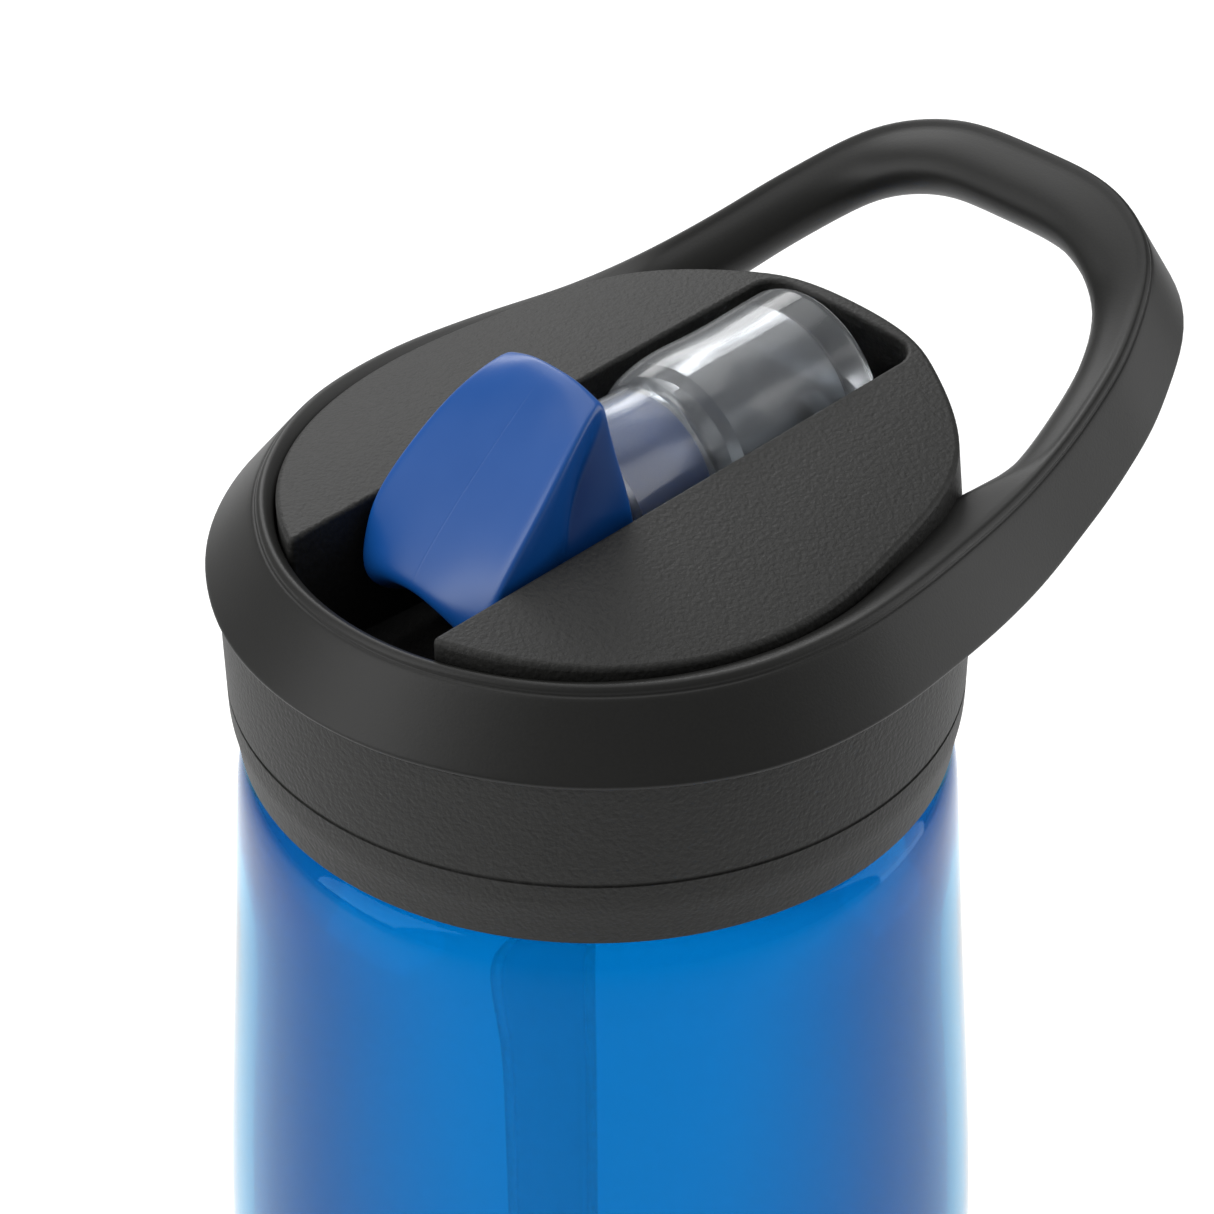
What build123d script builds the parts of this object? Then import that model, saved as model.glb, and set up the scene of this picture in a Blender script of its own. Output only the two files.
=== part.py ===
"""Flip-spout drinking bottle: a clear body with a screw lid, a carry loop and a bite-valve spout.

Frame: origin at the centre of the base on the bottle's axis, +Z up, +Y towards the carry loop,
-Y towards the mouthpiece. Millimetres.
"""
import os
from math import hypot, sqrt

from build123d import *

os.makedirs("parts", exist_ok=True)

# ---------------------------------------------------------------- driving dimensions
LID_Z = 208.0            # height of the lid's lower edge above the base
BODY_R = 36.8            # widest body radius, sized for a cup holder
LID_R = 32.0             # outer radius of the lid's skirt
RUN_FIT = 0.05           # radial clearance of the spout's trunnions

# bottle body
BODY_WALL = 2.0
SHOULDER_R = 31.6        # body radius right under the lid
WAIST_R = 35.2
FOOT_TOP = 44.0          # top of the straight foot
FOOT_BOTTOM = 9.0        # start of the rounded heel
NECK_R = 27.4            # thread root
NECK_BORE_R = 25.2
NECK_TOP = LID_Z + 7.6   # sealing rim
PUSH_UP = 5.0            # dome height of the base

# thread between neck and liner
PITCH = 3.2
NECK_CREST = 28.55
LINER_ROOT = 28.95
LINER_CREST = 27.75
NECK_TURNS = 1.5
LINER_TURNS = 1.25
THREAD_START = LID_Z + 0.9

# lid
SKIRT_WALL = 1.8
STEP_Z = LID_Z + 16.8    # seat of the carry handle's ring
GAP_R = 31.3             # shadow gap under the ring
FLOOR_Z = LID_Z + 12.2   # floor of the spout channel
TURRET_R = 26.6
TURRET_BACK = 31.7       # the deck's reach behind the axis at its foot
TURRET_BACK_TOP = 30.6
DECK_MID_Z = LID_Z + 26.7
DECK_CROWN_R = 140.0
DECK_TILT = 0.081        # rise of the deck per millimetre towards the back
DECK_RIM_ROUND = 0.5
CHANNEL_EDGE_ROUND = 0.4
CHANNEL_HALF = 9.05
CHANNEL_BACK = 29.2

# threaded liner and its vent
LINER_TOP = LID_Z + 11.0
LINER_PLATE = LID_Z + 9.4
LINER_R = LID_R - SKIRT_WALL - 0.05
VENT_Y = -16.5
VENT_DISC_R = 4.4
DUCT_DEPTH = 5.0
DUCT_WIDTH = 8.8
VENT_HOLE_R = 1.0

# spout
PIVOT_Y = 19.6
PIVOT_Z = LID_Z + 23.2
BARREL_R = 8.6
DRUM_R = 8.5
TRUNNION_R = 2.4
PORT_Y = PIVOT_Y - 4.3
STRAW_Y = -6.3
STRAW_R = 4.4
STRAW_BORE = 3.5
STRAW_END = 13.0         # height of the straw's lower end
STEM_BORE = 2.6
SEAL_R = 4.3
SOCKET_R = 6.6
SOCKET_START = 12.0      # along the barrel, forward of the pivot
BARREL_FRONT = 21.0
BARREL_REAR = 6.3        # behind the pivot
SHOULDER_AT = 12.3       # where the barrel steps down to its clear socket
BORE_R = 6.4
NOZZLE_R = 5.6
SLEEVE_BORE = 4.5        # bore of the bite valve's sleeve

# carry handle
HANDLE_TOP_Z = LID_Z + 23.64
HANDLE_RISE_Y = 17.4
HANDLE_RISE_R = 56.6
HANDLE_DROP = 7.0
RING_BORE = 27.0         # inner radius of the ring round the turret
RING_GAP = 0.4           # shadow gap between ring and turret


# ---------------------------------------------------------------- bottle body
with BuildPart() as bottle_body:
    with BuildSketch(Plane.XZ):
        with BuildLine():
            Line((0, PUSH_UP), (14, PUSH_UP))
            Spline((14, PUSH_UP), (21.5, 2.4), (28.6, 0), tangents=((1, 0), (1, 0)))
            Line((28.6, 0), (30.4, 0))
            Spline((30.4, 0), (BODY_R, FOOT_BOTTOM), tangents=((1, 0), (0, 1)))
            Line((BODY_R, FOOT_BOTTOM), (BODY_R, FOOT_TOP))
            Spline((BODY_R, FOOT_TOP), (WAIST_R, 92), (BODY_R, 140), (34.7, 172),
                   (32.1, LID_Z - 7), tangents=((0, 1), (-0.09, 1)))
            Spline((32.1, LID_Z - 7), (SHOULDER_R, LID_Z - 2.0), (NECK_R + 1.2, LID_Z - 0.5),
                   tangents=((-0.09, 1), (-1, 0)))
            Line((NECK_R + 1.2, LID_Z - 0.5), (NECK_R, LID_Z - 0.5))
            Line((NECK_R, LID_Z - 0.5), (NECK_R, NECK_TOP - 0.5))
            Polyline((NECK_R, NECK_TOP - 0.5), (NECK_R - 0.5, NECK_TOP),
                     (NECK_BORE_R + 0.4, NECK_TOP), (NECK_BORE_R, NECK_TOP - 0.4))
            Line((NECK_BORE_R, NECK_TOP - 0.4), (NECK_BORE_R, LID_Z - 1.5))
            Spline((NECK_BORE_R, LID_Z - 1.5), (29.4, LID_Z - 6.0), (30.8, LID_Z - 13.0),
                   tangents=((0, -1), (0.09, -1)))
            Spline((30.8, LID_Z - 13.0), (32.7, 172), (BODY_R - BODY_WALL, 140),
                   (WAIST_R - BODY_WALL, 92), (BODY_R - BODY_WALL, FOOT_TOP),
                   tangents=((0.09, -1), (0, -1)))
            Line((BODY_R - BODY_WALL, FOOT_TOP), (BODY_R - BODY_WALL, FOOT_BOTTOM + 2))
            Spline((BODY_R - BODY_WALL, FOOT_BOTTOM + 2), (28.6, 3.0), tangents=((0, -1), (-1, 0)))
            Spline((28.6, 3.0), (22.4, 4.8), (14, PUSH_UP + 2.4), tangents=((-1, 0), (-1, 0)))
            Line((14, PUSH_UP + 2.4), (0, PUSH_UP + 2.4))
            Line((0, PUSH_UP + 2.4), (0, PUSH_UP))
        make_face()
    revolve(axis=Axis.Z)
bottle_body.part.label = "bottle_body"


def thread_ridge(base_r, crest_r, start_z, turns):
    """One helical ridge of the neck thread: a trapezoid swept along its helix."""
    step = 1 if crest_r > base_r else -1
    with BuildPart() as ridge:
        with BuildLine():
            path = Helix(PITCH, PITCH * turns, base_r, center=(0, 0, start_z))
        with BuildSketch(Plane(origin=path @ 0, x_dir=(1, 0, 0), z_dir=path % 0)):
            with BuildLine():
                Polyline((-0.25 * step, -0.75), (crest_r - base_r, -0.38), (crest_r - base_r, 0.38),
                         (-0.25 * step, 0.75), close=True)
            make_face()
        sweep(path=path, is_frenet=True)
    return ridge.part


neck_ridge = thread_ridge(NECK_R, NECK_CREST, THREAD_START, NECK_TURNS)
liner_ridge = thread_ridge(LINER_ROOT, LINER_CREST, THREAD_START + PITCH / 2, LINER_TURNS)

with BuildPart() as threaded_body:
    add(bottle_body.part)
    add(neck_ridge)
threaded_body.part.label = "bottle_body"
export_step(threaded_body.part, "parts/bottle_body.step")

# ---------------------------------------------------------------- lid: gasket and threaded liner

with BuildPart() as lid_gasket:
    with BuildSketch(Plane.XY.offset(NECK_TOP + 0.05)):
        Circle(LINER_ROOT - 0.3)
        Circle(NECK_BORE_R, mode=Mode.SUBTRACT)
    extrude(amount=LINER_PLATE - NECK_TOP - 0.1)
    fillet(lid_gasket.edges().filter_by(GeomType.CIRCLE), 0.3)
lid_gasket.part.label = "lid_gasket"
export_step(lid_gasket.part, "parts/lid_gasket.step")

with BuildPart() as thread_liner:
    with BuildSketch(Plane.XY.offset(LINER_PLATE)):
        Circle(LINER_R)
    extrude(amount=LINER_TOP - LINER_PLATE)
    with BuildSketch(Plane.XY.offset(LID_Z + 0.8)):
        Circle(LINER_R)
        Circle(LINER_ROOT, mode=Mode.SUBTRACT)
    extrude(until=Until.NEXT)
    add(liner_ridge)
    # the duct that leads from under the spout to the straw's stem
    with BuildSketch(Plane.XY.offset(LINER_PLATE - DUCT_DEPTH)):
        with Locations((0, (PORT_Y + STRAW_Y) / 2)):
            SlotCenterToCenter(PORT_Y - STRAW_Y, DUCT_WIDTH, rotation=90)
    extrude(until=Until.NEXT)
    with BuildSketch(Plane.XY.offset(LID_Z)):
        with Locations((0, STRAW_Y)):
            Circle(STRAW_R)
    extrude(until=Until.NEXT)
    with BuildSketch(Plane.XY.offset(LID_Z - 13.0)):
        with Locations((0, STRAW_Y)):
            Circle(STRAW_BORE - 0.02)
    extrude(until=Until.NEXT)
    with BuildSketch(Plane.XY.offset(LINER_PLATE - DUCT_DEPTH + 1.0)):
        with Locations((0, (PORT_Y + STRAW_Y) / 2)):
            SlotCenterToCenter(PORT_Y - STRAW_Y, 2 * STEM_BORE, rotation=90)
    extrude(amount=DUCT_DEPTH - 1.4, mode=Mode.SUBTRACT)
    with BuildSketch(Plane.XY.offset(LINER_PLATE - 1)):
        with Locations((0, PORT_Y)):
            Circle(STEM_BORE - 0.1)
    extrude(amount=4, mode=Mode.SUBTRACT)
    with BuildSketch(Plane.XY.offset(LINER_PLATE - DUCT_DEPTH + 2)):
        with Locations((0, STRAW_Y)):
            Circle(STEM_BORE - 0.1)
    extrude(amount=-30, mode=Mode.SUBTRACT)
    with BuildSketch(Plane.XY.offset(LINER_TOP)):
        with Locations((0, VENT_Y)):
            Circle(1.2)
            with PolarLocations(2.8, 4):
                Circle(0.7)
    extrude(amount=-4, mode=Mode.SUBTRACT)
thread_liner.part.label = "thread_liner"
export_step(thread_liner.part, "parts/thread_liner.step")

with BuildPart() as vent_valve:
    with BuildSketch(Plane.YZ):
        with BuildLine():
            Polyline((VENT_Y, LINER_PLATE - 1.3), (VENT_Y + 2.0, LINER_PLATE - 1.2),
                     (VENT_Y + VENT_DISC_R, LINER_PLATE - 0.55), (VENT_Y + VENT_DISC_R, LINER_PLATE - 0.02),
                     (VENT_Y + 1.15, LINER_PLATE - 0.02), (VENT_Y + 1.15, LINER_TOP + 0.05),
                     (VENT_Y + 1.7, LINER_TOP + 0.05), (VENT_Y + 1.2, LINER_TOP + 0.7),
                     (VENT_Y, LINER_TOP + 0.7), close=True)
        make_face()
    revolve(axis=Axis((0, VENT_Y, 0), (0, 0, 1)))
vent_valve.part.label = "vent_valve"
export_step(vent_valve.part, "parts/vent_valve.step")

# ---------------------------------------------------------------- lid: shell with the spout channel
deck_plane = Plane(origin=(0, 0, DECK_MID_Z), x_dir=(1, 0, 0), z_dir=(0, -1, -DECK_TILT))
DECK_SIDE_LOW = [(25.3, 11.0), (21.6, 22.8), (12.6, 29.1)]
DECK_SIDE_HIGH = [(24.8, 10.6), (19.9, 21.6), (11.4, 28.2)]
CROWN_HALF = 45.0
CROWN_DROP = DECK_CROWN_R - sqrt(DECK_CROWN_R ** 2 - CROWN_HALF ** 2)


def below_deck(depth):
    """Everything under the crowned, tilted deck surface lowered by depth."""
    with BuildPart() as crown:
        with BuildSketch(deck_plane):
            with BuildLine():
                crest = ThreePointArc((-CROWN_HALF, -CROWN_DROP - depth), (0, -depth),
                                      (CROWN_HALF, -CROWN_DROP - depth))
                Polyline(crest @ 1, (CROWN_HALF, -30), (-CROWN_HALF, -30), crest @ 0)
            make_face()
        extrude(amount=60, both=True)
    return crown.part


def turret_plan(side_points, back_r, grow):
    """Plan of the raised deck: a round front and a fuller back that meets the skirt's wall."""
    grown = [(x * (1 + grow / hypot(x, y)), y * (1 + grow / hypot(x, y))) for x, y in side_points]
    with BuildSketch(mode=Mode.PRIVATE) as plan:
        with BuildLine():
            CenterArc((0, 0), TURRET_R + grow, 180, 180)
            Spline((TURRET_R + grow, 0), *grown, (0, back_r + grow), tangents=((0, 1), (-1, 0)))
            Spline((-TURRET_R - grow, 0), *[(-x, y) for x, y in grown], (0, back_r + grow),
                   tangents=((0, 1), (1, 0)))
        make_face()
    return plan.sketch


def turret_block(grow):
    """The raised deck's side walls, drawn in a little towards the top."""
    with BuildPart() as block:
        with BuildSketch(Plane.XY.offset(STEP_Z - 1.5)):
            add(turret_plan(DECK_SIDE_LOW, TURRET_BACK, grow))
        with BuildSketch(Plane.XY.offset(LID_Z + 34)):
            add(turret_plan(DECK_SIDE_HIGH, TURRET_BACK_TOP, grow))
        loft()
    return block.part


with BuildPart() as turret:
    add(turret_block(0))
    add(below_deck(0), mode=Mode.INTERSECT)
    fillet(turret.edges().filter_by(lambda edge: edge.center().Z > LID_Z + 22), DECK_RIM_ROUND)

with BuildPart() as side_pocket:
    with BuildSketch(Plane.XY.offset(LINER_TOP - 1)):
        add(turret_plan(DECK_SIDE_HIGH, TURRET_BACK_TOP, -2.2))
        Rectangle(2 * (CHANNEL_HALF + SKIRT_WALL), 80, mode=Mode.SUBTRACT)
    extrude(amount=40)
    add(below_deck(2.0), mode=Mode.INTERSECT)

with BuildPart() as channel:
    with BuildSketch(Plane.YZ):
        with BuildLine():
            Polyline((-40, FLOOR_Z), (CHANNEL_BACK + 1.2, FLOOR_Z), (CHANNEL_BACK + 1.2, PIVOT_Z),
                     (CHANNEL_BACK, LID_Z + 28.0), (CHANNEL_BACK, LID_Z + 40), (-40, LID_Z + 40), close=True)
        make_face()
    extrude(amount=CHANNEL_HALF, both=True)
    back_corners = channel.edges().filter_by(
        lambda edge: edge.center().Y > CHANNEL_BACK - 1 and abs(edge.center().X) > CHANNEL_HALF - 0.1
        and edge.center().Z > FLOOR_Z + 1 and edge.center().Z < LID_Z + 39)
    fillet(back_corners, 2.4)
    with BuildSketch(Plane.XY.offset(FLOOR_Z - 1)):
        Circle(27.0)
        with Locations((0, 25)):
            Rectangle(30, 50)
    extrude(amount=40, mode=Mode.INTERSECT)

with BuildPart() as lid_shell:
    with BuildSketch(Plane.XZ):
        with BuildLine():
            inner_r = LID_R - SKIRT_WALL
            Line((inner_r, LID_Z), (30.9, LID_Z))
            Spline((30.9, LID_Z), (31.45, LID_Z + 0.8), (31.85, LID_Z + 3.5), (LID_R, LID_Z + 6.5),
                   tangents=((1, 0), (0, 1)))
            Polyline((LID_R, LID_Z + 6.5), (LID_R - 0.15, LID_Z + 6.55), (LID_R - 0.15, LID_Z + 6.85),
                     (LID_R, LID_Z + 6.9), (LID_R, STEP_Z - 0.4), (GAP_R, STEP_Z - 0.4), (GAP_R, STEP_Z),
                     (0, STEP_Z), (0, STEP_Z - 2), (inner_r, STEP_Z - 2), (inner_r, LID_Z))
        make_face()
    revolve(axis=Axis.Z)
    add(turret.part)
    with BuildSketch(Plane.XY.offset(LINER_TOP)):
        Circle(LID_R - SKIRT_WALL + 0.2)
        Rectangle(2 * (CHANNEL_HALF + SKIRT_WALL), 80, mode=Mode.INTERSECT)
    extrude(amount=STEP_Z - LINER_TOP)
    add(side_pocket.part, mode=Mode.SUBTRACT)
    add(channel.part, mode=Mode.SUBTRACT)
    mouth_edges = lid_shell.edges().filter_by(
        lambda edge: 1 < edge.length < 60 and abs(edge.center().X) < CHANNEL_HALF + 0.2
        and edge.center().Z > DECK_MID_Z + DECK_TILT * edge.center().Y - 0.8 and edge.center().Y > -26)
    fillet(mouth_edges, CHANNEL_EDGE_ROUND)
    # trunnion bores, straw seal's hole and the vent with its recess
    with BuildSketch(Plane.YZ):
        with Locations((PIVOT_Y, PIVOT_Z)):
            Circle(TRUNNION_R + RUN_FIT)
    extrude(amount=CHANNEL_HALF + SKIRT_WALL + 0.5, both=True, mode=Mode.SUBTRACT)
    with BuildSketch(Plane.XY.offset(FLOOR_Z)):
        with Locations((0, PORT_Y)):
            Circle(SEAL_R + 0.02)
        with Locations((0, VENT_Y)):
            Circle(VENT_HOLE_R)
    extrude(amount=-3, mode=Mode.SUBTRACT)
    with BuildSketch(Plane.XY.offset(LINER_TOP)):
        with Locations((0, VENT_Y)):
            Circle(4.0)
    extrude(amount=0.8, mode=Mode.SUBTRACT)
lid_shell.part.label = "lid_shell"
export_step(lid_shell.part, "parts/lid_shell.step")

# ---------------------------------------------------------------- carry handle
# parting line of the ring and loop, seen from above, front to back along the +X side
HANDLE_LINE = [(0, -27.8), (8.9, -26.4), (17.4, -21.9), (23.5, -15.6), (27.3, -8.2), (28.7, 0.5),
               (28.2, 9.0), (26.7, 18.0), (25.1, 27.0), (23.2, 35.5), (20.9, 42.8), (16.6, 49.8),
               (9.4, 53.4), (0, 54.0)]
STATIONS = 17
STATION_CROWDING = 1.2   # above 1 the stations crowd towards the loop's tight end


def blend_in(value, low, high):
    """Smooth step from 0 at low to 1 at high."""
    part = min(max((value - low) / (high - low), 0), 1)
    return part * part * (3 - 2 * part)


def handle_top(y):
    """Height of the parting line: a slight slope, then a rise along the arms."""
    return HANDLE_TOP_Z + 0.0176 * y + max(y - HANDLE_RISE_Y, 0) ** 2 / (2 * HANDLE_RISE_R)


def handle_section(y, radius):
    """Section of the handle in its own plane: outward, then up."""
    arm = blend_in(y, 14, 30)
    end = blend_in(y, 44, 54)
    outer = 5.1 - 0.9 * blend_in(y, -10, 12) - 0.6 * arm + 0.6 * end
    drop = (handle_top(y) - STEP_Z) * (1 - arm) + HANDLE_DROP * arm
    wall = max(radius - RING_BORE, 0.9) * (1 - arm)
    return [(-0.25, 0), (0.25, -0.15), (outer, -(drop - 0.6)), (outer - 0.5, -drop),
            (-wall - 1.9 * arm, -drop), (-wall - (3.5 + 1.2 * end) * arm, -0.75 * drop),
            (-wall - (4.1 + 1.3 * end) * arm, -0.5 * drop), (-wall - (3.2 + 1.0 * end) * arm, -0.25 * drop),
            (-wall - 1.0 * arm, -0.4)]


with BuildLine() as parting_line:
    Spline(*HANDLE_LINE, tangents=((1, 0), (-1, 0)))
plan_curve = parting_line.line

corners = []
for station in range(STATIONS):
    share = 1 - (1 - station / (STATIONS - 1)) ** STATION_CROWDING
    point = plan_curve @ share
    along = plan_curve % share
    top_z = handle_top(point.Y)
    corners.append([(point.X + out * along.Y, point.Y - out * along.X, top_z + up)
                    for out, up in handle_section(point.Y, hypot(point.X, point.Y))])

# the half handle is skinned between its lengthwise edges, which start and end square to the YZ plane
rails = [Edge.make_spline([Vector(*point) for point in rail], tangents=[Vector(1, 0, 0), Vector(-1, 0, 0)])
         for rail in zip(*corners)]
skins = [Face.make_surface_from_curves(rail, rails[index - 1]) for index, rail in enumerate(rails)]
ends = [Face(Wire.make_polygon([Vector(*point) for point in ring], close=True))
        for ring in (corners[0], corners[-1])]
handle_half = Solid(Shell(skins + ends))

with BuildPart() as carry_handle:
    add(handle_half)
    mirror(handle_half, about=Plane.YZ)
    add(turret_block(RING_GAP), mode=Mode.SUBTRACT)
    with BuildSketch(Plane.XY.offset(STEP_Z)):
        Circle(LID_R + 1)
    extrude(amount=-3, mode=Mode.SUBTRACT)
carry_handle.part.label = "carry_handle"
export_step(carry_handle.part, "parts/carry_handle.step")

# ---------------------------------------------------------------- flip spout
# the barrel's own plane: X forward along the barrel, Y up, origin on the pivot
barrel_plane = Plane(origin=(0, PIVOT_Y, PIVOT_Z), x_dir=(0, -1, -DECK_TILT), z_dir=(-1, 0, 0))
barrel_axis = Axis((0, PIVOT_Y, PIVOT_Z), (0, -1, -DECK_TILT))
DRUM_HALF = 8.3
LOWER_BARREL_START = 9.7

with BuildPart() as spout:
    with BuildSketch(barrel_plane):
        with BuildLine():
            Line((-BARREL_REAR, 0), (-BARREL_REAR, BARREL_R - 1.2))
            RadiusArc((-BARREL_REAR, BARREL_R - 1.2), (1.2 - BARREL_REAR, BARREL_R), 1.2)
            Spline((1.2 - BARREL_REAR, BARREL_R), (4, DRUM_R), (SHOULDER_AT - 1.6, 8.2), (SHOULDER_AT, 7.3),
                   tangents=((1, 0), (0.35, -1)))
            Spline((SHOULDER_AT, 7.3), (16, 7.5), (BARREL_FRONT, 8.3), tangents=((1, 0), (1, 0.15)))
            Polyline((BARREL_FRONT, 8.3), (BARREL_FRONT, 0), (-BARREL_REAR, 0))
        make_face()
    revolve(axis=barrel_axis)
    # the barrel's underside stops short of the pivot, where the drum takes over
    with BuildSketch(barrel_plane):
        with Locations((-10 + LOWER_BARREL_START / 2, -7)):
            Rectangle(20 + LOWER_BARREL_START, 14)
    extrude(amount=12, both=True, mode=Mode.SUBTRACT)
    with BuildSketch(barrel_plane):
        Circle(DRUM_R)
        with Locations((0, 10)):
            Rectangle(20, 20, mode=Mode.SUBTRACT)
    extrude(amount=DRUM_HALF, both=True)
    with BuildSketch(Plane.YZ):
        with Locations((PIVOT_Y, PIVOT_Z)):
            Circle(TRUNNION_R)
    extrude(amount=11, both=True)
    # bore, socket and the port that meets the straw seal when the spout is up
    with BuildSketch(barrel_plane):
        with BuildLine():
            Polyline((-3.8, 0), (-3.8, BORE_R - 0.5), (-3.3, BORE_R), (8.6, BORE_R), (9.4, NOZZLE_R),
                     (SOCKET_START, NOZZLE_R), (SOCKET_START, SOCKET_R), (BARREL_FRONT + 1, SOCKET_R),
                     (BARREL_FRONT + 1, 0), close=True)
        make_face()
    revolve(axis=barrel_axis, mode=Mode.SUBTRACT)
    with BuildSketch(Plane.XZ.offset(-PIVOT_Y)):
        with Locations((0, PIVOT_Z - (PIVOT_Y - PORT_Y))):
            Circle(3.0)
    extrude(amount=-12, mode=Mode.SUBTRACT)
spout.part.label = "spout"
export_step(spout.part, "parts/spout.step")

# ---------------------------------------------------------------- bite valve
VALVE_HALF = 8.7
RIDGE_Y = -4.4
RIDGE_Z = LID_Z + 35.7
FACE_FALL = (-14.2, -12.7)
face_length = hypot(*FACE_FALL)
face_plane = Plane(origin=(0, RIDGE_Y, RIDGE_Z), x_dir=(1, 0, 0),
                   z_dir=(0, FACE_FALL[1] / face_length, -FACE_FALL[0] / face_length))

with BuildPart() as bite_valve:
    with BuildSketch(Plane.YZ):
        with BuildLine():
            Polyline((RIDGE_Y, RIDGE_Z), (-18.6, LID_Z + 23.0), (-20.0, LID_Z + 20.4), (-16.5, LID_Z + 16.5),
                     (-1.0, LID_Z + 15.7), (-0.8, LID_Z + 24.0))
            Spline((-0.8, LID_Z + 24.0), (-4.9, LID_Z + 30.5), (RIDGE_Y, RIDGE_Z),
                   tangents=((-0.5, 1), (0.2, 1)))
        make_face()
    extrude(amount=VALVE_HALF, both=True)
    with BuildSketch(face_plane):
        with BuildLine():
            right = Spline((5.0, 1), (7.6, -6), (VALVE_HALF - 0.1, -12), (8.4, -17), (7.0, -24))
            mirror(right, about=Plane.YZ)
            Line((5.0, 1), (-5.0, 1))
            Line((7.0, -24), (-7.0, -24))
        make_face()
    extrude(amount=40, both=True, mode=Mode.INTERSECT)
    with BuildSketch(barrel_plane):
        with Locations((BARREL_FRONT / 2, 0)):
            Rectangle(BARREL_FRONT + 0.1, 18)
    extrude(amount=12, both=True, mode=Mode.SUBTRACT)
    with BuildSketch(barrel_plane):
        with BuildLine():
            Polyline((SOCKET_START + 0.2, SLEEVE_BORE), (SOCKET_START + 0.2, SOCKET_R - 0.05),
                     (BARREL_FRONT + 1, SOCKET_R - 0.05), (BARREL_FRONT + 1, SLEEVE_BORE), close=True)
        make_face()
    revolve(axis=barrel_axis)
    with BuildSketch(barrel_plane):
        with BuildLine():
            Polyline((SOCKET_START, 0), (SOCKET_START, SLEEVE_BORE), (33, SLEEVE_BORE), (36.5, 1.0),
                     (36.5, 0), close=True)
        make_face()
    revolve(axis=barrel_axis, mode=Mode.SUBTRACT)
bite_valve.part.label = "bite_valve"
export_step(bite_valve.part, "parts/bite_valve.step")

# ---------------------------------------------------------------- straw and its seal
with BuildPart() as spout_seal:
    with BuildSketch(Plane.XY.offset(LINER_TOP)):
        with Locations((0, PORT_Y)):
            Circle(SEAL_R)
            Circle(STEM_BORE, mode=Mode.SUBTRACT)
    extrude(amount=LID_Z + 16.4 - LINER_TOP)
    with BuildSketch(Plane.YZ):
        with Locations((PIVOT_Y, PIVOT_Z)):
            Circle(DRUM_R + 0.08)
    extrude(amount=12, both=True, mode=Mode.SUBTRACT)
spout_seal.part.label = "spout_seal"
export_step(spout_seal.part, "parts/spout_seal.step")

with BuildPart() as straw:
    with BuildSketch(Plane.XY.offset(STRAW_END)):
        with Locations((0, STRAW_Y)):
            Circle(STRAW_R)
            Circle(STRAW_BORE, mode=Mode.SUBTRACT)
    extrude(amount=LID_Z - 0.05 - STRAW_END)
    with BuildSketch(Plane.YZ):
        with BuildLine():
            Polyline((STRAW_Y - 6, STRAW_END - 1), (STRAW_Y + 6, STRAW_END - 1),
                     (STRAW_Y + 6, STRAW_END + 5), close=True)
        make_face()
    extrude(amount=8, both=True, mode=Mode.SUBTRACT)
straw.part.label = "straw"
export_step(straw.part, "parts/straw.step")
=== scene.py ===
"""Looks of a clear drinking bottle with a screw lid, a carry loop and a flip spout with a bite valve.

The file follows the bottle as it is put together: the studio first, then body, straw and seals, lid,
carry loop, spout and mouthpiece. The scene is in metres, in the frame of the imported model; the pieces'
outlines are given in millimetres.
"""
import math

import bpy
from mathutils import Matrix, Vector


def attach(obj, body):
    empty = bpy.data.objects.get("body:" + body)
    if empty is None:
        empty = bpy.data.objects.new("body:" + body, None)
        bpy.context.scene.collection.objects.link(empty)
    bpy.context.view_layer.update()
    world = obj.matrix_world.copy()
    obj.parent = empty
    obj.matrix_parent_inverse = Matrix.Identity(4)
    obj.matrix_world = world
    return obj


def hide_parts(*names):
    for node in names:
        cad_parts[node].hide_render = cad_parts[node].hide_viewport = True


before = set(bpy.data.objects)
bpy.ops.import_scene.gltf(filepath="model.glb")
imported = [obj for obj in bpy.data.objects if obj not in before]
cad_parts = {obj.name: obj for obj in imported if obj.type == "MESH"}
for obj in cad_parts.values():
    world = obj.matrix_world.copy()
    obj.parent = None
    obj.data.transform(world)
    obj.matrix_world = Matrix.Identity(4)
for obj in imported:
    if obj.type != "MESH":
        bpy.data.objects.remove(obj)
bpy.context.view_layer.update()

# ------------------------------------------------------------------ studio
# A pale seamless table, soft boxes around it and the camera at three-quarter view from above,
# close to the lid.
VIEW_HEADING = math.radians(48.446)
VIEW_FALL = math.radians(35.208)
VIEW_ROLL = math.radians(-0.343)
LENS = 87.76
CAMERA_PLACE = Vector((0.1563, -0.1373, 0.3656))
aim = Vector((-math.sin(VIEW_HEADING) * math.cos(VIEW_FALL), math.cos(VIEW_HEADING) * math.cos(VIEW_FALL),
              -math.sin(VIEW_FALL)))
camera_data = bpy.data.cameras.new("camera")
camera_data.sensor_width = 36
camera_data.lens = LENS
camera_data.clip_start = 0.01
camera = bpy.data.objects.new("camera", camera_data)
bpy.context.scene.collection.objects.link(camera)
camera.matrix_world = (Matrix.Translation(CAMERA_PLACE) @ aim.to_track_quat("-Z", "Y").to_matrix().to_4x4()
                       @ Matrix.Rotation(VIEW_ROLL, 4, "Z"))
bpy.context.scene.camera = camera
bpy.context.scene.view_settings.view_transform = "Standard"


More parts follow.
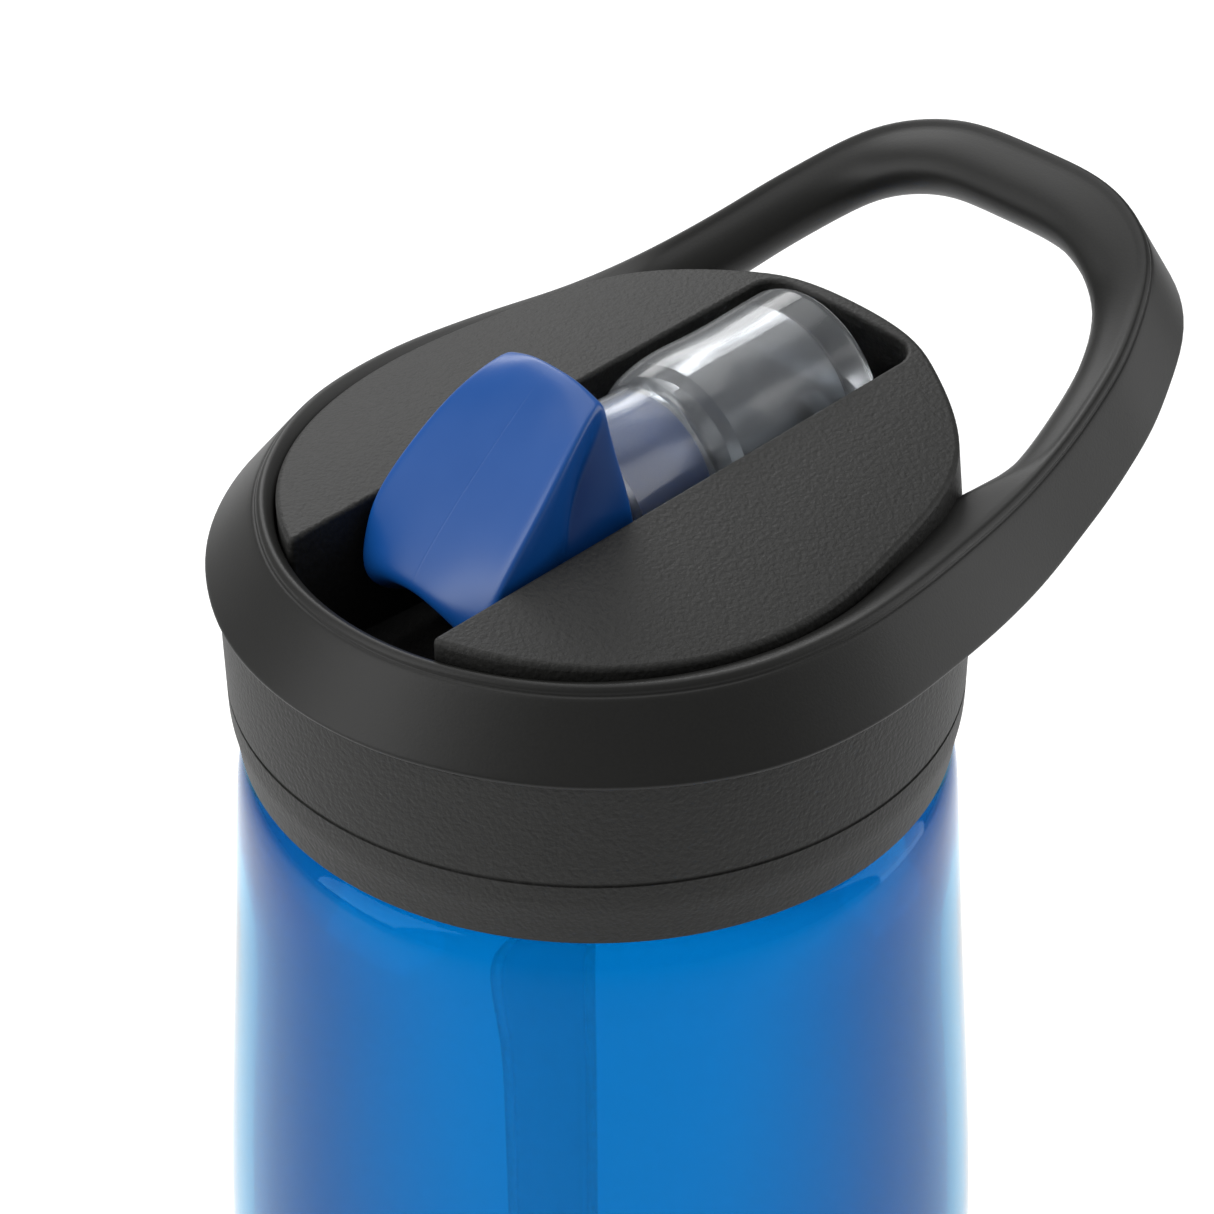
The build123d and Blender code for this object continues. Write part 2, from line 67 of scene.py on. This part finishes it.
class Wire:
    """One socket of a material's node tree; arithmetic on it adds Math nodes."""

    def __init__(self, tree, socket=None):
        self.tree = tree
        self.socket = socket

    def node(self, kind, settings=None, sockets=None, out=0):
        """A node of that kind: its settings first, then the values or links of its sockets."""
        made = self.tree.nodes.new(kind)
        for name, value in (settings or {}).items():
            if name == "stops":
                for index, (place, shade) in enumerate(value):
                    ramp = made.color_ramp.elements
                    stop = ramp[index] if index < len(ramp) else ramp.new(place)
                    stop.position = place
                    stop.color = (shade, shade, shade, 1)
            else:
                setattr(made, name, value)
        for name, value in (sockets or {}).items():
            if isinstance(value, Wire):
                self.tree.links.new(value.socket, made.inputs[name])
            else:
                made.inputs[name].default_value = value
        return Wire(self.tree, made.outputs[out] if made.outputs else None)

    def math(self, operation, left, right=0.0):
        return self.node("ShaderNodeMath", {"operation": operation}, {0: left, 1: right})

    def __add__(self, other):
        return self.math("ADD", self, other)

    def __radd__(self, other):
        return self.math("ADD", other, self)

    def __sub__(self, other):
        return self.math("SUBTRACT", self, other)

    def __rsub__(self, other):
        return self.math("SUBTRACT", other, self)

    def __mul__(self, other):
        return self.math("MULTIPLY", self, other)

    def __rmul__(self, other):
        return self.math("MULTIPLY", other, self)

    def mix(self, low, high):
        """The colour between low and high that this value points at."""
        return self.node("ShaderNodeMix", {"data_type": "RGBA"}, {0: self, 6: low, 7: high}, out=2)

    def ramp(self, *stops):
        return self.node("ShaderNodeValToRGB", {"stops": stops}, {0: self})


def new_finish(name, colour, roughness, **fixed):
    """A new material: its tree's wire, object coordinates and a function that links the final sockets."""
    material = bpy.data.materials.new(name)
    material.use_nodes = True
    tree = material.node_tree
    shader = tree.nodes["Principled BSDF"]
    shader.inputs["Base Color"].default_value = (*colour, 1)
    shader.inputs["Roughness"].default_value = roughness
    for socket, value in fixed.items():
        shader.inputs[socket.replace("_", " ")].default_value = value
    wire = Wire(tree)
    place = wire.node("ShaderNodeTexCoord", out=3)

    def link(**sockets):
        for socket, value in sockets.items():
            tree.links.new(value.socket, shader.inputs[socket.replace("_", " ")])

    return material, wire, place, link


table_paint, wire, place, link = new_finish("table_paint", (0.93, 0.93, 0.925), 0.6, Emission_Strength=0.25,
                                            Emission_Color=(1.0, 1.0, 1.0, 1.0))
speckle = wire.node("ShaderNodeTexNoise", sockets={"Vector": place, "Scale": 6.0})
link(Base_Color=speckle.mix((0.925, 0.927, 0.93, 1), (0.95, 0.95, 0.945, 1)))
TABLE_SIZE = 8.0
bpy.ops.mesh.primitive_plane_add(size=TABLE_SIZE, location=(0, 0, 0))
table = bpy.context.object
table.name = "table"
table.data.materials.append(table_paint)

world = bpy.data.worlds.new("studio")
world.use_nodes = True
backdrop = world.node_tree.nodes["Background"]
backdrop.inputs["Color"].default_value = (1.0, 1.0, 1.0, 1)
backdrop.inputs["Strength"].default_value = 0.28
bpy.context.scene.world = world
to_camera = Vector((-aim.x, -aim.y, 0)).normalized()
to_right = Vector((-to_camera.y, to_camera.x, 0))
BOXES_AIM = Vector((0, 0, 0.2))
SOFT_BOXES = {            # right, towards the camera, up, width, height in metres, and power in watts
    "left_box": (-0.75, 0.25, 0.65, 0.5, 0.9, 5.0),
    "right_box": (0.80, -0.10, 0.45, 0.35, 0.9, 2.6),
    "top_box": (-0.10, -0.35, 1.1, 0.9, 0.9, 4.6),
    "back_box": (-0.30, -0.95, 0.74, 0.7, 0.35, 4.0),
}
for name, (right, near, up, width, height, power) in SOFT_BOXES.items():
    spot = to_right * right + to_camera * near + Vector((0, 0, up))
    lamp_data = bpy.data.lights.new(name, "AREA")
    lamp_data.shape = "RECTANGLE"
    lamp_data.size = width
    lamp_data.size_y = height
    lamp_data.energy = power
    lamp = bpy.data.objects.new(name, lamp_data)
    bpy.context.scene.collection.objects.link(lamp)
    lamp.matrix_world = (Matrix.Translation(spot)
                         @ (BOXES_AIM - spot).to_track_quat("-Z", "Y").to_matrix().to_4x4())

# ------------------------------------------------------------------ bottle body
# The body is blown from clear azure copolyester, with a 2 mm wall, a straight foot, a shallow grip
# and a threaded neck that the lid hides. Its sizes are in millimetres, like those of the next pieces.
MM = 0.001
LID_EDGE = 208.0          # height of the lid's lower edge
BODY_SIDES = 96
NECK_R = 27.4


def clear_selection():
    """Object mode with nothing selected."""
    if bpy.context.object and bpy.context.object.mode != "OBJECT":
        bpy.ops.object.mode_set(mode="OBJECT")
    bpy.ops.object.select_all(action="DESELECT")


def turned(name, outline, sides):
    """A turned piece in millimetres: one ring drawn along (radius, height) stations, closed at its poles."""
    clear_selection()
    radius, height = outline[0]
    bpy.ops.mesh.primitive_circle_add(vertices=sides, radius=radius * MM, fill_type="NGON",
                                      location=(0, 0, height * MM))
    piece = bpy.context.object
    piece.name = name
    bpy.ops.object.transform_apply(location=True, rotation=False, scale=False)
    bpy.ops.object.mode_set(mode="EDIT")
    bpy.ops.mesh.select_all(action="SELECT")
    for (radius, height), (next_radius, next_height) in zip(outline, outline[1:]):
        bpy.ops.mesh.extrude_region_move(
            TRANSFORM_OT_translate={"value": (0, 0, (next_height - height) * MM)})
        bpy.ops.transform.resize(value=(next_radius / radius, next_radius / radius, 1))
    bpy.ops.mesh.select_all(action="SELECT")
    bpy.ops.mesh.normals_make_consistent(inside=False)
    bpy.ops.object.mode_set(mode="OBJECT")
    return piece


def smoothed(piece, levels):
    """Subdivision applied, all faces smooth."""
    clear_selection()
    piece.select_set(True)
    bpy.context.view_layer.objects.active = piece
    rounding = piece.modifiers.new("rounding", "SUBSURF")
    rounding.levels = levels
    rounding.render_levels = levels
    bpy.ops.object.modifier_apply(modifier="rounding")
    bpy.ops.object.shade_smooth()
    return piece


# (radius, height) from the pushed-up base, up the outside to the rim and down the inside
BODY_OUTLINE = [
    (3.0, 5.0), (12.0, 5.0), (17.0, 4.3), (22.0, 2.1), (26.4, 0.4), (28.8, 0.02), (30.6, 0.02), (33.6, 1.1),
    (35.7, 3.8), (36.6, 7.2), (36.8, 10.5), (36.8, 30.0), (36.8, 42.0), (36.55, 56.0), (35.7, 73.0),
    (35.2, 92.0), (35.7, 111.0), (36.5, 127.0), (36.8, 140.0), (36.5, 150.0), (35.6, 162.0), (34.6, 173.0),
    (33.6, 184.0), (32.7, 194.5), (32.25, 200.0), (31.9, 204.0), (31.3, 206.2), (30.2, 207.2),
    (28.6, 207.5), (27.7, 207.55), (NECK_R, 207.8), (NECK_R, 209.5), (NECK_R, 214.6), (27.3, 215.4),
    (26.9, 215.6), (25.6, 215.6), (25.25, 215.3), (25.2, 213.0), (25.2, 208.0), (25.4, 206.4),
    (26.6, 204.4), (28.9, 202.2), (30.3, 198.6), (30.75, 194.5), (31.6, 184.0), (32.6, 173.0),
    (33.6, 162.0), (34.5, 150.0), (34.8, 140.0), (34.5, 127.0), (33.7, 111.0), (33.2, 92.0),
    (33.7, 73.0), (34.55, 56.0), (34.8, 42.0), (34.8, 30.0), (34.8, 12.0), (34.4, 7.6), (32.8, 4.6),
    (30.6, 3.3), (28.8, 3.1), (26.4, 3.3), (22.0, 4.9), (17.0, 6.8), (12.0, 7.4), (3.0, 7.4)]
body = smoothed(turned("bottle_wall", BODY_OUTLINE, BODY_SIDES), 1)

# the neck's thread: one ridge of trapezoid section, wound up the neck and joined to the body
CREST_R = 28.55
PITCH = 3.2
THREAD_TURNS = 1.5
THREAD_START = LID_EDGE + 0.9
THREAD_STEPS = 144
RIDGE_PROFILE = [(NECK_R - 0.05, -0.72), (CREST_R, -0.38), (CREST_R, 0.38), (NECK_R - 0.05, 0.72)]
clear_selection()
bpy.ops.mesh.primitive_circle_add(vertices=len(RIDGE_PROFILE), radius=0.001)
ridge = bpy.context.object
ridge.name = "thread_ridge"
for vertex, (radius, height) in zip(ridge.data.vertices, RIDGE_PROFILE):
    vertex.co = (radius * MM, 0, (THREAD_START + height) * MM)
winding = ridge.modifiers.new("winding", "SCREW")
winding.angle = math.tau * THREAD_TURNS
winding.screw_offset = PITCH * THREAD_TURNS * MM
winding.steps = THREAD_STEPS
winding.render_steps = THREAD_STEPS
bpy.ops.object.modifier_apply(modifier="winding")
bpy.ops.object.mode_set(mode="EDIT")
bpy.ops.mesh.select_all(action="SELECT")
bpy.ops.mesh.fill_holes(sides=len(RIDGE_PROFILE))
bpy.ops.mesh.select_all(action="SELECT")
bpy.ops.mesh.normals_make_consistent(inside=False)
bpy.ops.object.mode_set(mode="OBJECT")
bpy.ops.object.shade_smooth_by_angle(angle=math.radians(30))
body.select_set(True)
bpy.context.view_layer.objects.active = body
bpy.ops.object.join()

azure, wire, place, link = new_finish("azure_copolyester", (0.0, 0.37, 0.62), 0.03, Transmission_Weight=1.0,
                                      IOR=1.33, Specular_Tint=(0.12, 0.42, 0.75, 1.0))
ripple = wire.node("ShaderNodeTexNoise", sockets={"Vector": place, "Scale": 18.0, "Detail": 1.0})
bump = wire.node("ShaderNodeBump", sockets={"Height": ripple, "Strength": 0.05, "Distance": 0.001})
haze = wire.node("ShaderNodeTexNoise", sockets={"Vector": place, "Scale": 60.0})
# painted shade: the wall's base colour darkens in a band towards its outline, standing in for dark edge
# reflections and for the longer way that slanting light goes through the tinted plastic
slant = wire.node("ShaderNodeLayerWeight", sockets={"Blend": 0.35}, out=1)
painted_edge_shade = slant.ramp((0.22, 0.0), (0.42, 0.8), (0.62, 1.0), (0.74, 0.25))
# the base colour takes the painted edge shade from the band above
link(Normal=bump, Roughness=haze * 0.02 + 0.015,
     Base_Color=painted_edge_shade.mix((0.0, 0.36, 0.64, 1), (0.0, 0.12, 0.32, 1)))
body.data.materials.append(azure)
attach(body, "bottle")
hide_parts("bottle_body")

# ------------------------------------------------------------------ straw, seals and vent
# A natural polypropylene tube hangs from the liner's stem; the gasket, the spout's saddle seal and
# the umbrella vent are moulded in natural silicone.
tube, wire, place, link = new_finish("natural_tube", (0.90, 0.94, 0.96), 0.1, Transmission_Weight=0.95,
                                     IOR=1.3)
streak = wire.node("ShaderNodeTexNoise", sockets={"Vector": place, "Scale": 90.0, "Detail": 2.0})
link(Roughness=streak * 0.12 + 0.06, Base_Color=streak.mix((0.88, 0.92, 0.94, 1), (0.95, 0.97, 0.98, 1)))
silicone, wire, place, link = new_finish("natural_silicone", (0.72, 0.73, 0.72), 0.45)
dust = wire.node("ShaderNodeTexNoise", sockets={"Vector": place, "Scale": 900.0, "Detail": 3.0})
link(Base_Color=dust.mix((0.66, 0.67, 0.66, 1), (0.76, 0.77, 0.76, 1)), Roughness=dust * 0.2 + 0.35)
for node, paint in {"straw": tube, "lid_gasket": silicone, "spout_seal": silicone,
                    "vent_valve": silicone}.items():
    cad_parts[node].data.materials.clear()
    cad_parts[node].data.materials.append(paint)

# ------------------------------------------------------------------ lid shell and threaded liner
# Both are charcoal polypropylene; the shell has a fine spark-eroded grain on its deck and skirt.
grained, wire, place, link = new_finish("grained_charcoal", (0.020, 0.020, 0.019), 0.5,
                                        Specular_IOR_Level=0.26)
grain = wire.node("ShaderNodeTexNoise", sockets={"Vector": place, "Scale": 2400.0, "Detail": 2.0})
patch = wire.node("ShaderNodeTexNoise", sockets={"Vector": place, "Scale": 70.0, "Detail": 3.0})
tone = grain * 0.7 + patch * 0.3
bump = wire.node("ShaderNodeBump", sockets={"Height": grain, "Strength": 1.0, "Distance": 0.0001})
link(Base_Color=tone.mix((0.006, 0.006, 0.0055, 1), (0.032, 0.032, 0.0305, 1)),
     Roughness=tone * 0.16 + 0.46, Normal=bump)
for node in ("lid_shell", "thread_liner"):
    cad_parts[node].data.materials.clear()
    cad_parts[node].data.materials.append(grained)

# ------------------------------------------------------------------ carry handle
# One charcoal moulding: a ring that snaps over the lid and runs back into a rising loop. Its outer
# face is a smooth slant under a sharp parting line; the loop's inside is rounded for the fingers.
HANDLE_TOP = 23.64        # parting line over the lid's edge, at the axis
HANDLE_SLOPE = 0.0176
STEP = 16.8               # the ring's seat on the lid
GROOVE_R = 26.85          # the ring's inner wall
LOOP_RISE_Y = 17.4        # where the arms start to rise
LOOP_RISE_R = 56.6
ARM_DEPTH = 7.0
# parting line of ring and loop from above, front to back along one side
RING_LINE = [(0, -27.8), (8.9, -26.4), (17.4, -21.9), (23.5, -15.6), (27.3, -8.2), (28.7, 0.5), (28.2, 9.0),
             (26.7, 18.0), (25.1, 27.0), (23.2, 35.5), (20.9, 42.8), (16.6, 49.8), (9.4, 53.4), (0, 54.0)]
STATIONS_PER_SPAN = 4
# down the outer face: share of its width, and depth there of the fine groove under the parting line
OUTER_FACE = [(0.03, 0), (0.045, 0.11), (0.07, 0.11), (0.085, 0), (0.15, 0), (0.5, 0), (0.9, 0), (0.97, 0)]


def ease(value, low, high):
    """Smooth step from 0 at low to 1 at high."""
    share = min(max((value - low) / (high - low), 0), 1)
    return share * share * (3 - 2 * share)


def handle_height(y):
    """Height of the parting line over the lid's edge: level round the lid, then a rising curve."""
    return HANDLE_TOP + HANDLE_SLOPE * y + max(y - LOOP_RISE_Y, 0) ** 2 / (2 * LOOP_RISE_R)


def handle_section(y, radius):
    """Closed section, outward and up from the parting line: slanting outer face, seat, inner side."""
    arm = ease(y, 14, 30)
    end = ease(y, 44, 54)
    outer = 5.1 - 0.9 * ease(y, -10, 12) - 0.6 * arm + 0.6 * end
    drop = (handle_height(y) - STEP) * (1 - arm) + ARM_DEPTH * arm
    wall = max(radius - GROOVE_R, 0.9) * (1 - arm)
    top, low = (0.30, -0.25), (outer, -(drop - 0.55))
    slant = [(top[0] + (low[0] - top[0]) * share - dip, top[1] + (low[1] - top[1]) * share - dip)
             for share, dip in OUTER_FACE]
    inner = [(wall + 1.9 * arm, drop), (wall + (3.0 + 1.0 * end) * arm, 0.88 * drop),
             (wall + (4.0 + 1.4 * end) * arm, 0.62 * drop), (wall + (3.9 + 1.4 * end) * arm, 0.38 * drop),
             (wall + (2.4 + 1.0 * end) * arm, 0.16 * drop), (wall + 1.0 * arm, 0.55)]
    return ([(-0.30, -0.04), (0.0, 0.0), top] + slant + [low, (outer - 0.25, -(drop - 0.1)),
            (outer - 0.8, -drop), ((outer - wall) / 2, -drop), (0.5 - inner[0][0], -drop)]
            + [(-out, -down) for out, down in inner] + [(0.2 - inner[-1][0], -0.42)])


def through(points, spans):
    """Closed smooth line through the points, spans steps between each two."""
    line = []
    for index in range(len(points)):
        before, start, end, after = (Vector(points[(index + step) % len(points)]) for step in (-1, 0, 1, 2))
        for step in range(spans):
            t = step / spans
            line.append(0.5 * (2 * start + (end - before) * t
                               + (2 * before - 5 * start + 4 * end - after) * t * t
                               + (3 * start - before - 3 * end + after) * t ** 3))
    return line


loop_line = through(RING_LINE + [(-x, y) for x, y in RING_LINE[-2:0:-1]], STATIONS_PER_SPAN)
corners = []
for index, point in enumerate(loop_line):
    along = (loop_line[(index + 1) % len(loop_line)] - loop_line[index - 1]).normalized()
    for out, up in handle_section(point.y, point.length):
        corners.append(((point.x + out * along.y) * MM, (point.y - out * along.x) * MM,
                        LID_EDGE * MM + (handle_height(point.y) + up) * MM))
ring_count = len(handle_section(0, 28))
faces = []
for station in range(len(loop_line)):
    after = (station + 1) % len(loop_line)
    for corner in range(ring_count):
        beside = (corner + 1) % ring_count
        faces.append((station * ring_count + corner, after * ring_count + corner,
                      after * ring_count + beside, station * ring_count + beside))
loop_mesh = bpy.data.meshes.new("carry_loop")
loop_mesh.from_pydata(corners, [], faces)
loop = bpy.data.objects.new("carry_loop", loop_mesh)
bpy.context.scene.collection.objects.link(loop)
clear_selection()
loop.select_set(True)
bpy.context.view_layer.objects.active = loop
bpy.ops.object.mode_set(mode="EDIT")
bpy.ops.mesh.select_all(action="SELECT")
bpy.ops.mesh.normals_make_consistent(inside=False)
bpy.ops.object.mode_set(mode="OBJECT")
smoothed(loop, 1)

satin, wire, place, link = new_finish("satin_charcoal", (0.014, 0.014, 0.0135), 0.42,
                                      Specular_IOR_Level=0.26)
grain = wire.node("ShaderNodeTexNoise", sockets={"Vector": place, "Scale": 4200.0, "Detail": 2.0})
patch = wire.node("ShaderNodeTexNoise", sockets={"Vector": place, "Scale": 45.0, "Detail": 3.0})
tone = grain * 0.5 + patch * 0.5
bump = wire.node("ShaderNodeBump", sockets={"Height": grain, "Strength": 0.18, "Distance": 0.00005})
link(Base_Color=tone.mix((0.010, 0.010, 0.0095, 1), (0.018, 0.018, 0.017, 1)),
     Roughness=tone * 0.14 + 0.36, Normal=bump)
loop.data.materials.append(satin)
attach(loop, "lid")
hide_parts("carry_handle")

# ------------------------------------------------------------------ flip spout
# Milky polypropylene, moulded in one piece: a barrel with a clear socket, the two trunnions that it
# turns on and the drum that closes the straw's port.
milky, wire, place, link = new_finish("milky_polypropylene", (0.80, 0.84, 0.88), 0.2,
                                      Transmission_Weight=0.93, IOR=1.42)
cloud = wire.node("ShaderNodeTexNoise", sockets={"Vector": place, "Scale": 140.0, "Detail": 3.0})
bump = wire.node("ShaderNodeBump", sockets={"Height": cloud, "Strength": 0.06, "Distance": 0.0004})
link(Base_Color=cloud.mix((0.76, 0.80, 0.84, 1), (0.86, 0.89, 0.92, 1)), Roughness=cloud * 0.12 + 0.12,
     Normal=bump)
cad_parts["spout"].data.materials.clear()
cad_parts["spout"].data.materials.append(milky)

# ------------------------------------------------------------------ bite valve
# Soft royal blue silicone, moulded in one shot: a wedge with a slanting face and a notched tip, on a
# sleeve that plugs into the spout. A faint mould line runs down its face.
VALVE_SIDE = [            # forward, up and half width, from the ridge down the face and back under it
    (-3.7, 36.4, 5.9), (-4.9, 36.7, 6.1), (-8.8, 33.5, 7.4), (-13.0, 29.7, 8.3), (-16.9, 25.9, 8.7),
    (-19.8, 22.6, 8.5), (-21.0, 19.7, 7.7), (-19.2, 17.2, 7.2), (-14.0, 16.2, 7.2), (-7.0, 15.8, 7.4),
    (-2.6, 15.7, 7.3), (-2.3, 18.5, 8.0), (-2.6, 24.5, 8.5), (-3.4, 29.5, 7.6), (-3.8, 33.4, 6.4)]
RIDGE = (0, 1)
TIP = (5, 6, 7)
NOTCH = {6: (1.3, 1.6), 7: (3.0, 3.0), 8: (1.0, 1.6)}
FLANK_MIDDLE = Vector((-9.0, 22.5))
# across the valve: place between the middle and a side, size of the flank's inner rings, and hollow
COLUMNS = [(-1.0, 0.30, 1.0), (-1.0, 0.72, 0.5), (-1.0, 1.0, 0.0), (-0.87, 1.0, 0.0), (-0.45, 1.0, 0.0),
           (0.0, 1.0, 0.0), (0.45, 1.0, 0.0), (0.87, 1.0, 0.0), (1.0, 1.0, 0.0), (1.0, 0.72, 0.5),
           (1.0, 0.30, 1.0)]
clear_selection()
bpy.ops.mesh.primitive_circle_add(vertices=len(VALVE_SIDE), radius=0.01, fill_type="NGON")
valve = bpy.context.object
valve.name = "mouthpiece"
bpy.ops.object.mode_set(mode="EDIT")
bpy.ops.mesh.select_all(action="SELECT")
for column in COLUMNS[1:]:
    bpy.ops.mesh.extrude_region_move(TRANSFORM_OT_translate={"value": (0.001, 0, 0)})
bpy.ops.object.mode_set(mode="OBJECT")
for vertex in valve.data.vertices:
    column, point = divmod(vertex.index, len(VALVE_SIDE))
    across, size, hollow = COLUMNS[column]
    forward, up, half = VALVE_SIDE[point]
    edge = ease(abs(across), 0.5, 1.0)
    if point in RIDGE:
        up -= 1.1 * edge
    if point in TIP:
        forward += 1.6 * edge
    if point in NOTCH:
        arch = 1 - ease(abs(across), 0.2, 0.95)
        forward += NOTCH[point][0] * arch
        up += NOTCH[point][1] * arch
    spot = FLANK_MIDDLE + (Vector((forward, up)) - FLANK_MIDDLE) * size
    vertex.co = (across * (half - hollow) * MM, spot.x * MM, (LID_EDGE + spot.y) * MM)
bpy.ops.object.mode_set(mode="EDIT")
bpy.ops.mesh.select_all(action="SELECT")
bpy.ops.mesh.normals_make_consistent(inside=False)
bpy.ops.object.mode_set(mode="OBJECT")
smoothed(valve, 3)

# the sleeve is turned upright and then laid along the barrel
PIVOT = Vector((0, 19.6, LID_EDGE + 23.2)) * MM
BARREL_TILT = 0.081
SLEEVE_SIDES = 64
SLEEVE = [(0.8, 21.6), (4.2, 21.6), (4.5, 21.2), (4.5, 12.5), (4.7, 12.25), (6.25, 12.25), (6.5, 12.6),
          (6.5, 17.0), (6.5, 22.4), (6.2, 22.8), (0.8, 22.8)]
sleeve = turned("sleeve", SLEEVE, SLEEVE_SIDES)
along_barrel = Vector((0, -1, -BARREL_TILT)).normalized()
sleeve.data.transform(Matrix.Translation(PIVOT) @ along_barrel.to_track_quat("Z", "Y").to_matrix().to_4x4())
bpy.ops.object.shade_smooth_by_angle(angle=math.radians(50))
clear_selection()
sleeve.select_set(True)
valve.select_set(True)
bpy.context.view_layer.objects.active = valve
bpy.ops.object.join()

royal, wire, place, link = new_finish("royal_silicone", (0.015, 0.085, 0.36), 0.34, Specular_IOR_Level=0.5)
bloom = wire.node("ShaderNodeTexNoise", sockets={"Vector": place, "Scale": 110.0, "Detail": 3.0})
fine = wire.node("ShaderNodeTexNoise", sockets={"Vector": place, "Scale": 2600.0})
across = wire.node("ShaderNodeSeparateXYZ", sockets={0: place}, out=0)
# the mould line is a fine ridge in the plane that parts the valve's two halves
mould_line = 0.35 - across.math("ABSOLUTE", across) * 4000
relief = fine * 0.08 + mould_line.math("MAXIMUM", mould_line, 0.0)
bump = wire.node("ShaderNodeBump", sockets={"Height": relief, "Strength": 0.3, "Distance": 0.00005})
link(Base_Color=bloom.mix((0.002, 0.066, 0.29, 1), (0.006, 0.086, 0.35, 1)), Roughness=bloom * 0.12 + 0.27,
     Normal=bump)
valve.data.materials.append(royal)
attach(valve, "mouthpiece")
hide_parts("bite_valve")
